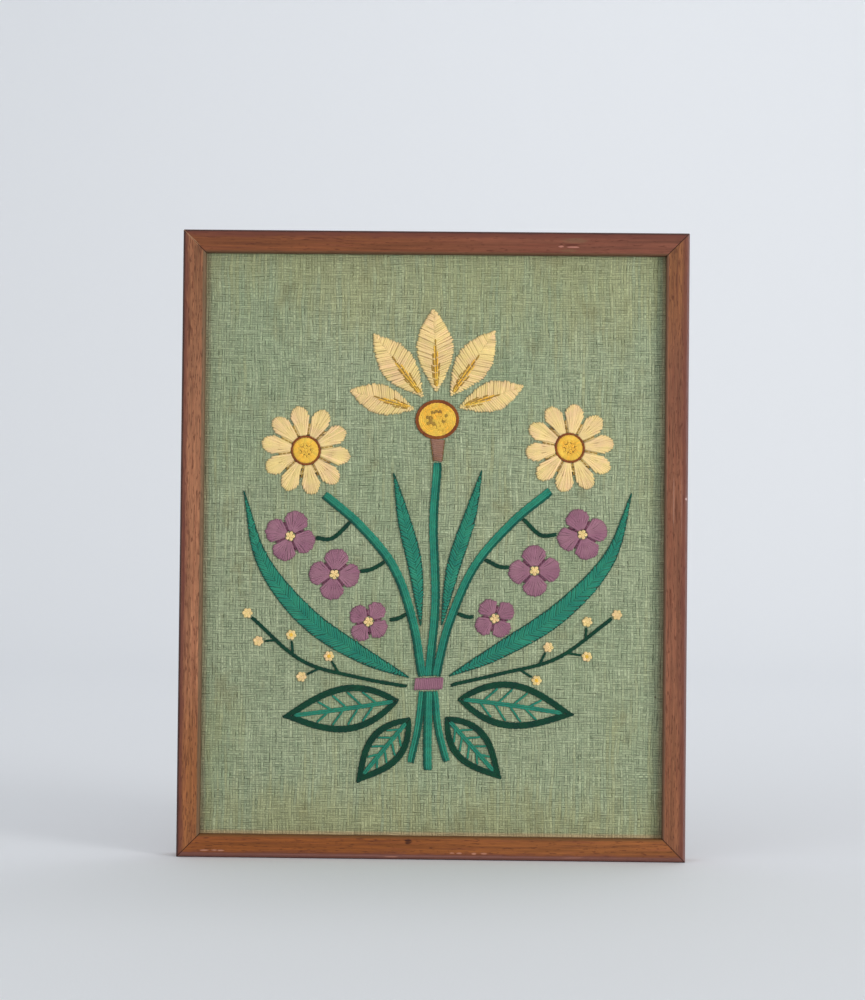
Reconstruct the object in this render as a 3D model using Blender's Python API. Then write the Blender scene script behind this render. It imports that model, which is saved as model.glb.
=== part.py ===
"""A framed embroidery standing on its lower edge.

Four mitred wooden mouldings hold a linen ground that lies on a backing board.
The posy on the linen is raised: each stitched motif is a thin pad of wool.

Metres, +Z up, front face towards -Y, origin at the bottom centre of the frame.
The posy is drawn in millimetres from the middle of the linen, across and up.
"""

import math

import bmesh
import bpy
from mathutils import Vector

MM = 0.001
GAP = 0.3 * MM

# The frame
FRAME_WIDTH = 253 * MM
FRAME_HEIGHT = 313 * MM
FRAME_DEPTH = 18 * MM
FACE_WIDTH = 11.5 * MM
LIP_WIDTH = 5 * MM
LIP_DEPTH = 5 * MM
OUTER_ROUND = 2 * MM
INNER_ROUND = 0.8 * MM
WALL = FACE_WIDTH - LIP_WIDTH

# The cloth and what it lies on
LINEN_THICKNESS = 1.2 * MM
BOARD_THICKNESS = 3 * MM
SHEET_WIDTH = FRAME_WIDTH - 2 * (WALL + GAP)
SHEET_HEIGHT = FRAME_HEIGHT - 2 * (WALL + GAP)
LINEN_FRONT = -FRAME_DEPTH / 2 + LIP_DEPTH + GAP
BOARD_FRONT = LINEN_FRONT + LINEN_THICKNESS + GAP

# The raised stitching
PAD_THICKNESS = 0.8 * MM
PAD_CENTRE = LINEN_FRONT - GAP - PAD_THICKNESS / 2

SIDES = (("left", -1), ("right", 1))


def linear(red, green, blue):
    """An 8-bit screen colour as the linear values that a shader takes."""
    return tuple(((c / 255 + 0.055) / 1.055) ** 2.4 for c in (red, green, blue)) + (1,)


# name: (colour, roughness)
FINISHES = {
    "teak": (linear(140, 88, 60), 0.5),
    "linen": (linear(140, 148, 118), 0.95),
    "hardboard": (linear(120, 88, 60), 0.8),
    "cream_wool": (linear(232, 206, 140), 0.9),
    "gold_wool": (linear(222, 170, 66), 0.9),
    "taupe_wool": (linear(150, 116, 98), 0.9),
    "teal_wool": (linear(42, 122, 98), 0.9),
    "forest_wool": (linear(22, 70, 58), 0.9),
    "mauve_wool": (linear(146, 84, 118), 0.9),
}


def start_empty():
    for old in list(bpy.data.objects):
        bpy.data.objects.remove(old, do_unlink=True)


def collection(name):
    made = bpy.data.collections.new(name)
    bpy.context.scene.collection.children.link(made)
    return made


def material(name):
    """A plain Principled material, made once and shared by what is of the same stuff."""
    if name in bpy.data.materials:
        return bpy.data.materials[name]
    colour, roughness = FINISHES[name]
    made = bpy.data.materials.new(name)
    made.use_nodes = True
    shader = made.node_tree.nodes["Principled BSDF"]
    shader.inputs["Base Color"].default_value = colour
    shader.inputs["Roughness"].default_value = roughness
    shader.inputs["Metallic"].default_value = 0
    return made


def flat_curve(name, outlines, thickness):
    """A filled 2D curve in its own XY plane. The first outline is the rim, the others are holes."""
    data = bpy.data.curves.new(name, "CURVE")
    data.dimensions = "2D"
    data.fill_mode = "BOTH"
    data.extrude = thickness / 2
    for outline in outlines:
        spline = data.splines.new("POLY")
        spline.points.add(len(outline) - 1)
        for point, (x, y) in zip(spline.points, outline):
            point.co = (x, y, 0, 1)
        spline.use_cyclic_u = True
    return data


def as_mesh(obj):
    """Replaces a curve object by a closed mesh object of the same name and place."""
    graph = bpy.context.evaluated_depsgraph_get()
    mesh = bpy.data.meshes.new_from_object(obj.evaluated_get(graph))
    shape = bmesh.new()
    shape.from_mesh(mesh)
    bmesh.ops.remove_doubles(shape, verts=shape.verts, dist=GAP / 100)
    bmesh.ops.recalc_face_normals(shape, faces=shape.faces)
    shape.to_mesh(mesh)
    shape.free()
    name, place, home = obj.name, obj.matrix_world.copy(), obj.users_collection[0]
    bpy.data.objects.remove(obj, do_unlink=True)
    made = bpy.data.objects.new(name, mesh)
    made.matrix_world = place
    home.objects.link(made)
    return made


# The mouldings


def arc(centre, radius, first, last, steps):
    """Points round part of a circle, from the first angle to the last, in degrees."""
    points = []
    for i in range(steps + 1):
        angle = math.radians(first + (last - first) * i / steps)
        points.append((centre[0] + radius * math.cos(angle), centre[1] + radius * math.sin(angle)))
    return points


def moulding_profile():
    """Section of a member: X runs inwards from its outer side, Y runs back from its face."""
    rim = arc((OUTER_ROUND, OUTER_ROUND), OUTER_ROUND, 180, 270, 5)
    rim += arc((FACE_WIDTH - INNER_ROUND, INNER_ROUND), INNER_ROUND, 270, 360, 3)
    rim += [(FACE_WIDTH, LIP_DEPTH), (WALL, LIP_DEPTH), (WALL, FRAME_DEPTH), (0, FRAME_DEPTH)]
    return rim


def add_member(name, length, turn, corner, home):
    """One moulding with mitred ends, its outer side through corner, turned about the view axis."""
    obj = bpy.data.objects.new(name, flat_curve(name, [moulding_profile()], length))
    home.objects.link(obj)
    obj = as_mesh(obj)
    reach = length / 2 - GAP / math.sqrt(2)
    for point in obj.data.vertices:
        point.co.z = math.copysign(reach - point.co.x, point.co.z)
    obj.location = corner
    obj.rotation_euler = (0, math.radians(turn), 0)
    obj.data.materials.append(material("teak"))
    obj.data.shade_smooth()
    obj.data.set_sharp_from_angle(angle=math.radians(30))


def add_frame(home):
    front = -FRAME_DEPTH / 2
    middle = FRAME_HEIGHT / 2
    add_member("frame_left", FRAME_HEIGHT, 0, (-FRAME_WIDTH / 2, front, middle), home)
    add_member("frame_top", FRAME_WIDTH, 90, (0, front, FRAME_HEIGHT), home)
    add_member("frame_right", FRAME_HEIGHT, 180, (FRAME_WIDTH / 2, front, middle), home)
    add_member("frame_bottom", FRAME_WIDTH, 270, (0, front, 0), home)


# The linen and the board


def add_sheet(name, front, thickness, finish, home):
    """A flat sheet that fills the frame's rebate."""
    shape = bmesh.new()
    bmesh.ops.create_cube(shape, size=1)
    bmesh.ops.scale(shape, verts=shape.verts, vec=(SHEET_WIDTH, thickness, SHEET_HEIGHT))
    mesh = bpy.data.meshes.new(name)
    shape.to_mesh(mesh)
    shape.free()
    obj = bpy.data.objects.new(name, mesh)
    obj.location = (0, front + thickness / 2, FRAME_HEIGHT / 2)
    obj.data.materials.append(material(finish))
    home.objects.link(obj)


# Shapes of the posy, all in millimetres from the middle of the linen


def hand_drawn(x, z):
    """A slow waver, so that the two halves of the posy are not exact mirror images."""
    return x + 1.8 * math.sin(z / 38 + 0.7), z + 1.5 * math.sin(x / 33 + 0.4)


def smooth_path(points, steps):
    """A smooth curve through the points, with so many steps between each two of them."""
    ends = [2 * Vector(points[0]) - Vector(points[1])]
    ends += [Vector(p) for p in points]
    ends += [2 * Vector(points[-1]) - Vector(points[-2])]
    path = []
    for a, b, c, d in zip(ends, ends[1:], ends[2:], ends[3:]):
        for i in range(steps):
            t = i / steps
            path.append(0.5 * (2 * b + (c - a) * t + (2 * a - 5 * b + 4 * c - d) * t**2
                               + (3 * b - a - 3 * c + d) * t**3))
    return path + [ends[-2]]


def widened(path, half_width):
    """The outline at half_width(share of the way) to both sides of a path."""
    last = len(path) - 1
    near_side = []
    far_side = []
    for i, point in enumerate(path):
        run = (path[min(i + 1, last)] - path[max(i - 1, 0)]).normalized()
        out = Vector((-run.y, run.x)) * half_width(i / last)
        near_side.append(point + out)
        if out.length > 0.01:
            far_side.append(point - out)
    return near_side + far_side[::-1]


def blade(points, width, steps=5, belly=1.1):
    """A leaf or petal, pointed at both ends, along a smooth path."""
    return widened(smooth_path(points, steps), lambda t: width / 2 * math.sin(math.pi * t**belly))


def ribbon(points, width, end_width=None, steps=5):
    """A stem of even width, or one that changes evenly to its end width."""
    last = width if end_width is None else end_width
    return widened(smooth_path(points, steps), lambda t: (width + (last - width) * t) / 2)


def lobed(centre, radius, notch, lobes, turn, steps=8):
    """The rim of a flower with round petals, down to the notch radius between them."""
    rim = []
    for i in range(lobes * steps):
        angle = 2 * math.pi * i / (lobes * steps)
        swell = abs(math.cos(lobes * angle / 2)) ** 0.55
        reach = notch + (radius - notch) * swell
        angle += math.radians(turn)
        rim.append(Vector(centre) + reach * Vector((math.cos(angle), math.sin(angle))))
    return rim


def disc(centre, across, up, steps=16):
    return [(centre[0] + x, centre[1] + up / across * y) for x, y in arc((0, 0), across, 0, 360, steps)[:-1]]


def turned(angle, reach, start=(0, 0)):
    """The point at this angle and reach from start, the angle in degrees from straight up."""
    way = math.radians(angle)
    return start[0] + reach * math.sin(way), start[1] + reach * math.cos(way)


def pad_curve(name, outlines, home, thickness=PAD_THICKNESS):
    """A flat solid of these outlines, standing just in front of the linen."""
    drawn = []
    for outline in outlines:
        wavered = [hand_drawn(x, z) for x, z in outline]
        drawn.append([(x * MM, z * MM) for x, z in wavered])
    obj = bpy.data.objects.new(name, flat_curve(name, drawn, thickness))
    obj.location = (0, PAD_CENTRE, FRAME_HEIGHT / 2)
    obj.rotation_euler = (math.pi / 2, 0, 0)
    home.objects.link(obj)
    return obj


def add_pad(name, outlines, finish, home):
    pad_curve(name, outlines, home).data.materials.append(material(finish))


def add_joined_pad(name, outlines, finish, home, helpers):
    """One pad from several outlines that overlap."""
    bpy.context.view_layer.update()
    whole = None
    for i, outline in enumerate(outlines):
        obj = pad_curve(name if whole is None else f"{name}_part_{i}", [outline], home if whole is None else helpers)
        bpy.context.view_layer.update()
        obj = as_mesh(obj)
        if whole is None:
            whole = obj
            whole.data.materials.append(material(finish))
            continue
        obj.hide_render = True
        obj.display_type = "WIRE"
        join = whole.modifiers.new(f"join_{i}", "BOOLEAN")
        join.operation = "UNION"
        join.object = obj


# The posy

MARGIN = 0.4
HEART = (0, 64)
FAN_START = 11
# angle from straight up, length, width
FAN_PETALS = ((-72, 35, 15), (-36, 41, 17.5), (0, 43, 18.5), (36, 41, 17.5), (72, 35, 15))
CUP_ACROSS, CUP_UP = 10.5, 9.5
NECK_TOP, NECK_FOOT = 52, 41
STEM_WIDTH = 4.2
# side stem's points above the tie
SIDE_STEM = ((9, -40), (20, -12), (38, 10), (56.5, 26))
TIE_CENTRE = -70
TIE_HALF_WIDTH, TIE_HALF_HEIGHT = 7, 3
TIE_TOP = TIE_CENTRE + TIE_HALF_HEIGHT + 2 * MARGIN
TIE_FOOT = TIE_CENTRE - TIE_HALF_HEIGHT - 2 * MARGIN

DAISY = (66, 48)
DAISY_RADIUS, DAISY_NOTCH, DAISY_HOLE = 22.5, 13, 7.2

# centre, radius, turn, share of the side stem where the stalk leaves it, the stalk's bend
BLOSSOMS = (
    ((73, 5), 13, 20, 0.8, (52, 4)),
    ((50, -14), 13, 5, 0.55, (32, -12)),
    ((31.5, -38), 10.7, 35, 0.3, (17.2, -37)),
)
EYE_RADIUS = 2.6
STALK_WIDTH = 2

# base, angle from straight up, length, width
VEINED_LEAVES = (("upper", (15, -78), 97, 58, 23), ("lower", (9, -87), 139, 41, 19))
VEIN_RIM = 3.2
VEIN_WIDTH = 2.2

SPRIG = ((11, -71), (36, -65.5), (64, -57), (90, -36))
# share of the way along the sprig, side, length of the stub
SPRIG_STUBS = ((0.44, -1, 7), (0.58, 1, 7), (0.72, -1, 7), (0.86, 1, 6))
KNOT_RADIUS = 2.6
SPRIG_WIDTH = 1.8


def add_fan_flower(home):
    """The big flower at the top: five petals over a cup, on a short neck."""
    for i, (angle, length, width) in enumerate(FAN_PETALS):
        first = turned(angle, FAN_START, HEART)
        last = turned(angle, FAN_START + length, HEART)
        middle = [(first[k] + last[k]) / 2 for k in (0, 1)]
        add_pad(f"fan_petal_{i + 1}", [blade((first, middle, last), width)], "cream_wool", home)
    add_pad("fan_cup", [disc((0, HEART[1] - 2), CUP_ACROSS, CUP_UP)], "gold_wool", home)
    add_pad("fan_neck", [ribbon(((0, NECK_TOP), (0, NECK_FOOT)), 7, STEM_WIDTH)], "taupe_wool", home)


def add_daisies(home):
    for side, sign in SIDES:
        centre = (sign * DAISY[0], DAISY[1])
        rim = lobed(centre, DAISY_RADIUS, DAISY_NOTCH, 10, 9 * sign)
        hole = disc(centre, DAISY_HOLE, DAISY_HOLE)
        button = DAISY_HOLE - MARGIN
        add_pad(f"daisy_petals_{side}", [rim, hole], "cream_wool", home)
        add_pad(f"daisy_button_{side}", [disc(centre, button, button)], "gold_wool", home)


def side_stem(sign):
    return smooth_path([(sign * x, z) for x, z in ((3.5, TIE_TOP),) + SIDE_STEM], 5)


def add_stems(home, helpers):
    """Three stems out of a tie, their cut ends below it, and the band of the tie."""
    stems = [ribbon(((0, TIE_TOP), (1.5, -30), (-1.5, 10), (0, NECK_FOOT - 1.5 * MARGIN)), STEM_WIDTH)]
    ends = [ribbon(((0, TIE_FOOT), (-0.5, -113)), STEM_WIDTH)]
    for _, sign in SIDES:
        stems.append(widened(side_stem(sign), lambda t: STEM_WIDTH / 2))
        ends.append(ribbon(((sign * 3, TIE_FOOT), (sign * 5, -92), (sign * 9, -109)), STEM_WIDTH - 0.6))
    add_joined_pad("stems", stems, "teal_wool", home, helpers)
    add_joined_pad("stalk_ends", ends, "teal_wool", home, helpers)
    band = ((-TIE_HALF_WIDTH, TIE_CENTRE), (TIE_HALF_WIDTH, TIE_CENTRE))
    add_pad("stem_tie", [ribbon(band, 2 * TIE_HALF_HEIGHT)], "mauve_wool", home)


def add_long_leaves(home):
    outer = ((10, -66.5), (34, -54.5), (63, -35), (86.5, -7), (97, 27))
    inner = ((5.2, -41), (9.5, -12), (16.5, 13), (22, 36))
    for side, sign in SIDES:
        for name, path, width in (("outer", outer, 9.5), ("inner", inner, 7)):
            points = [(sign * x, z) for x, z in path]
            add_pad(f"leaf_{name}_{side}", [blade(points, width, belly=0.9)], "teal_wool", home)


def add_blossoms(home):
    """Three mauve blossoms on each side stem, each with an eye and a stalk."""
    for side, sign in SIDES:
        stem = side_stem(sign)
        for i, (centre, radius, turn, share, bend) in enumerate(BLOSSOMS):
            middle = Vector((sign * centre[0], centre[1]))
            knee = Vector((sign * bend[0], bend[1]))
            leaves = round(share * (len(stem) - 1))
            run = (stem[leaves + 1] - stem[leaves - 1]).normalized()
            start = stem[leaves] + sign * Vector((run.y, -run.x)) * (STEM_WIDTH / 2 + 2 * MARGIN)
            rim = lobed(middle, radius, radius * 0.55, 4, turn * sign)
            hole = disc(middle, EYE_RADIUS, EYE_RADIUS, 10)
            eye = EYE_RADIUS - MARGIN
            into = middle + (knee - middle).normalized() * (radius + MARGIN)
            stalk = (start, knee, into)
            add_pad(f"blossom_{side}_{i + 1}", [rim, hole], "mauve_wool", home)
            add_pad(f"blossom_eye_{side}_{i + 1}", [disc(middle, eye, eye, 10)], "cream_wool", home)
            add_pad(f"blossom_stalk_{side}_{i + 1}", [ribbon(stalk, STALK_WIDTH, steps=3)], "forest_wool", home)


def veined_leaf(base, angle, length, width):
    """A leaf's rim and the two open fields beside its midrib."""
    path = smooth_path((base, turned(angle, length / 2, base), turned(angle, length, base)), 8)
    belly = 0.85

    def half_width(t):
        return width / 2 * math.sin(math.pi * t**belly)

    fields = []
    for side in (-1, 1):
        near_rib = []
        near_rim = []
        across = Vector(turned(angle + 90, side))
        for i, point in enumerate(path):
            inner = half_width(i / (len(path) - 1)) - VEIN_RIM
            if inner > VEIN_WIDTH:
                near_rib.append(point + across * VEIN_WIDTH / 2)
                near_rim.append(point + across * inner)
        fields.append(near_rib + near_rim[::-1])
    return [widened(path, half_width)] + fields


def add_veined_leaves(home):
    for side, sign in SIDES:
        for name, base, angle, length, width in VEINED_LEAVES:
            outlines = veined_leaf((sign * base[0], base[1]), sign * angle, length, width)
            add_pad(f"veined_leaf_{name}_{side}", outlines, "forest_wool", home)


def add_sprigs(home, helpers):
    """A thin sprig on each side, with a round knot on each stub and on its tip."""
    for side, sign in SIDES:
        path = smooth_path([(sign * x, z) for x, z in SPRIG], 6)
        pieces = [widened(path, lambda t: SPRIG_WIDTH / 2)]
        tips = [(path[-1], (path[-1] - path[-2]).normalized())]
        for share, way, length in SPRIG_STUBS:
            i = round(share * (len(path) - 1))
            run = (path[i + 1] - path[i]).normalized()
            out = (run + way * Vector((-run.y, run.x))).normalized()
            end = path[i] + out * length
            pieces.append(widened([path[i], end], lambda t: SPRIG_WIDTH / 2))
            tips.append((end, out))
        add_joined_pad(f"sprig_{side}", pieces, "forest_wool", home, helpers)
        for i, (end, out) in enumerate(tips):
            centre = end + out * (KNOT_RADIUS + MARGIN)
            add_pad(f"knot_{side}_{i + 1}", [disc(centre, KNOT_RADIUS, KNOT_RADIUS, 10)], "cream_wool", home)


def main():
    start_empty()
    home = collection("framed_embroidery")
    helpers = collection("helpers")
    add_frame(home)
    add_sheet("linen_ground", LINEN_FRONT, LINEN_THICKNESS, "linen", home)
    add_sheet("backing_board", BOARD_FRONT, BOARD_THICKNESS, "hardboard", home)
    add_fan_flower(home)
    add_daisies(home)
    add_stems(home, helpers)
    add_long_leaves(home)
    add_blossoms(home)
    add_veined_leaves(home)
    add_sprigs(home, helpers)


main()
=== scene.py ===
"""Dresses the framed embroidery: linen, wool stitches, wood and board, with its floor, light and camera.

The posy is drawn in millimetres from the middle of the linen, across and up, as in the part's source.
"""

import math

import bmesh
import bpy
import numpy as np
from mathutils import Matrix, Vector


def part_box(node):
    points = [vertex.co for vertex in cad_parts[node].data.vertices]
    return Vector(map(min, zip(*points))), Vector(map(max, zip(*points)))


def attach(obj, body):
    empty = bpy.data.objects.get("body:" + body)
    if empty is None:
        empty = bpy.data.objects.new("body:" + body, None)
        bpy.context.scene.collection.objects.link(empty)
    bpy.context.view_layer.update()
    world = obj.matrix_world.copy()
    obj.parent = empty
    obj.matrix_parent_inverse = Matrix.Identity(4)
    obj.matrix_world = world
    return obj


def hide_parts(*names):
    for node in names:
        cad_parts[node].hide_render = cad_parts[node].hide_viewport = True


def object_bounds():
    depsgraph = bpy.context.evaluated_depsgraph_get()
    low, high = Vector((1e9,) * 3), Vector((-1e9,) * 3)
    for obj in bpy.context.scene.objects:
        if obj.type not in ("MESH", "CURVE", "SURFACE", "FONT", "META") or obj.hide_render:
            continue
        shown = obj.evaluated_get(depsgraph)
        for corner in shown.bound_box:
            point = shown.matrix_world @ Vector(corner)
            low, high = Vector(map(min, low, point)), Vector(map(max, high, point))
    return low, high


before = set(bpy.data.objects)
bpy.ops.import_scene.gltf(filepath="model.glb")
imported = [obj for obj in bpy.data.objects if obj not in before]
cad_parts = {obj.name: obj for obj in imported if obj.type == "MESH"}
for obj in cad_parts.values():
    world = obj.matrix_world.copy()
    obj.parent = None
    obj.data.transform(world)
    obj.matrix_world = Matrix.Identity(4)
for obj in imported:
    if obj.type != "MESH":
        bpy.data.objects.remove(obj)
cad_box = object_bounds()
scene = bpy.context.scene

MM = 0.001
BODY = "root"
SIDES = (("left", -1), ("right", 1))

FACE = 11.5
OPENING_FOOT = FACE
LINEN_LOW, LINEN_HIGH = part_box("linen_ground")
LINEN_FRONT = LINEN_LOW.y
MIDDLE_X = (LINEN_LOW.x + LINEN_HIGH.x) / 2
MIDDLE_Z = (LINEN_LOW.z + LINEN_HIGH.z) / 2
FRAME_LOW, FRAME_HIGH = cad_box

rng = np.random.default_rng(7)


def unit(vector):
    return vector / np.linalg.norm(vector)


def left_of(vector):
    """The vector after a quarter turn to the left."""
    return np.array([-vector[1], vector[0]])


def add_object(name, data):
    obj = bpy.data.objects.new(name, data)
    scene.collection.objects.link(obj)
    return obj


# Colours


def linear(colour):
    """An 8-bit screen colour as the linear values that a shader takes."""
    return tuple(((c / 255 + 0.055) / 1.055) ** 2.4 for c in colour) + (1,)


# Each wool's usual colour, and the one that its dye drifts to
WOOLS = {
    "cream": ((243, 217, 146), (232, 198, 148)),
    "gold": ((242, 200, 84), (236, 178, 64)),
    "olive_gold": ((178, 144, 62), (154, 118, 54)),
    "bark": ((132, 100, 52), (112, 72, 42)),
    "rust": ((146, 84, 38), (116, 60, 34)),
    "taupe": ((158, 119, 104), (134, 98, 78)),
    "teal": ((48, 140, 112), (32, 118, 100)),
    "deep_teal": ((20, 92, 74), (14, 72, 62)),
    "forest": ((12, 70, 48), (8, 54, 42)),
    "mauve": ((158, 113, 128), (142, 96, 115)),
    "plum": ((118, 62, 84), (100, 50, 78)),
}


# Node trees


class Field:
    """A number or colour in a node tree, which Python's own operators combine."""

    def __init__(self, tree, socket):
        self.tree = tree
        self.socket = socket

    def math(self, operation, *others):
        inputs = dict(enumerate((self, *others)))
        return add_node(self.tree, "Math", inputs, operation=operation)

    def __add__(self, other):
        return self.math("ADD", other)

    def __sub__(self, other):
        return self.math("SUBTRACT", other)

    def __mul__(self, other):
        return self.math("MULTIPLY", other)

    def __truediv__(self, other):
        return self.math("DIVIDE", other)

    def clamped(self, low, high, shape="LINEAR"):
        """Runs from 0 at low to 1 at high, and stays there."""
        inputs = {"Value": self, "From Min": low, "From Max": high}
        return add_node(self.tree, "MapRange", inputs, interpolation_type=shape)

    def smooth(self, low, high):
        return self.clamped(low, high, "SMOOTHSTEP")


def fill(tree, node, inputs):
    """Links each Field to its socket, and sets each plain number or colour on it."""
    for key, value in inputs.items():
        if isinstance(value, Field):
            tree.links.new(value.socket, node.inputs[key])
        else:
            node.inputs[key].default_value = value


def add_node(tree, kind, inputs, output=0, **settings):
    """A new node in a tree, read at one of its outputs."""
    node = tree.nodes.new(f"ShaderNode{kind}")
    for name, value in settings.items():
        setattr(node, name, value)
    fill(tree, node, inputs)
    return Field(tree, node.outputs[output])


class Tree:
    """A material's node tree, with the few kinds of node that this script needs."""

    def __init__(self, name):
        self.material = bpy.data.materials.new(name)
        self.material.use_nodes = True
        self.tree = self.material.node_tree

    def place(self):
        """X, Y and Z of the point in millimetres."""
        spot = add_node(self.tree, "TexCoord", {}, "Object")
        split = add_node(self.tree, "SeparateXYZ", {0: spot}).socket.node
        return [Field(self.tree, out) * (1 / MM) for out in split.outputs]

    def noise(self, where, scale=1.0, detail=2.0, roughness=0.5):
        """Noise read at a place, which is two or three numbers or Fields."""
        spot = add_node(self.tree, "CombineXYZ", dict(enumerate(where)))
        inputs = {"Vector": spot, "Scale": scale, "Detail": detail, "Roughness": roughness}
        return add_node(self.tree, "TexNoise", inputs, "Fac")

    def mix(self, share, first, second, blend="MIX"):
        """Two colours mixed by a share. A plain one is an 8-bit screen colour."""
        first, second = (linear(c) if isinstance(c, tuple) else c for c in (first, second))
        # For colours the node's inputs are 0, 6 and 7, and its output is 2
        inputs = {0: share, 6: first, 7: second}
        return add_node(self.tree, "Mix", inputs, 2, data_type="RGBA", blend_type=blend)

    def brighter(self, colour, factor):
        """A colour times a number."""
        return self.mix(1.0, colour, factor, "MULTIPLY")

    def attribute(self, name):
        return add_node(self.tree, "Attribute", {}, "Fac", attribute_name=name)

    def finish(self, colour, roughness, height, relief, specular, sheen=0.0, sheen_roughness=0.5):
        """The material: relief is how deep the height field goes from 0 to 1, in millimetres."""
        bump = {"Height": height, "Distance": relief * MM, "Strength": 1}
        inputs = {
            "Base Color": colour,
            "Roughness": roughness,
            "Normal": add_node(self.tree, "Bump", bump),
            "Specular IOR Level": specular,
            "Sheen Weight": sheen,
            "Sheen Roughness": sheen_roughness,
        }
        fill(self.tree, self.tree.nodes["Principled BSDF"], inputs)
        return self.material


# Wool


def wool_material(name):
    """Matt twisted wool: each stitch has its own tint, and fine fibres run over it. Painted shade: its
    depth attribute makes each thread darker low down, near the linen.
    """
    tree = Tree(f"wool_{name}")
    x, y, z = tree.place()
    fibre = tree.noise((x, y, z), scale=4.5, detail=3.0, roughness=0.65)
    cloud = tree.noise((x, y, z), scale=0.16, detail=3.0)
    depth = tree.attribute("depth")
    tint = tree.attribute("tint")
    drift = (cloud * 2.4 + tint * 0.35 - 0.75).clamped(0, 1)
    bright = tint * 0.15 + fibre * 0.3 + 0.82
    shade = tree.mix(drift, *WOOLS[name])
    # Painted shade: lower parts of each thread, and the pad below, are painted darker by their depth
    shade = tree.brighter(shade, bright * (depth * 0.45 + 0.56))
    return tree.finish(shade, 0.92, fibre, 0.12, 0.12, 0.1, 0.6)


wool_materials = {name: wool_material(name) for name in WOOLS}

# A thread and its stitches, in millimetres
THREAD_SIDES = 6
THREAD_STEP = 0.5
THREAD_PITCH = 0.98
HALF_WIDTH = 0.6
HALF_HEIGHT = 0.42
DIVE = 0.8
TWIST_LENGTH = 3.4
TWIST_DEPTH = 0.13

# The pad below the stitches: its heights, how far in it ends, its tint, and its level of painted shade,
# darker than the stitches' tops, which paints shade in the gaps between them
UNDERLAY_TOP, UNDERLAY_FOOT = 0.48, -0.15
UNDERLAY_INSET = 0.75
UNDERLAY_TINT, UNDERLAY_SHADE_LEVEL = -0.4, 0.7

# A stitch's ends lie this far below the linen, and a shorter one than this is left out
HOLE_DEPTH = 0.35
SHORTEST_STITCH = 0.7
KNOT_TURNS, KNOT_STEPS = 2, 22


def hand_drawn(path):
    """The same slow waver as in the solids, which keeps the two halves from being mirror images."""
    x, z, height = path.T
    return np.column_stack([x + 1.8 * np.sin(z / 38 + 0.7), z + 1.5 * np.sin(x / 33 + 0.4), height])


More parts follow.
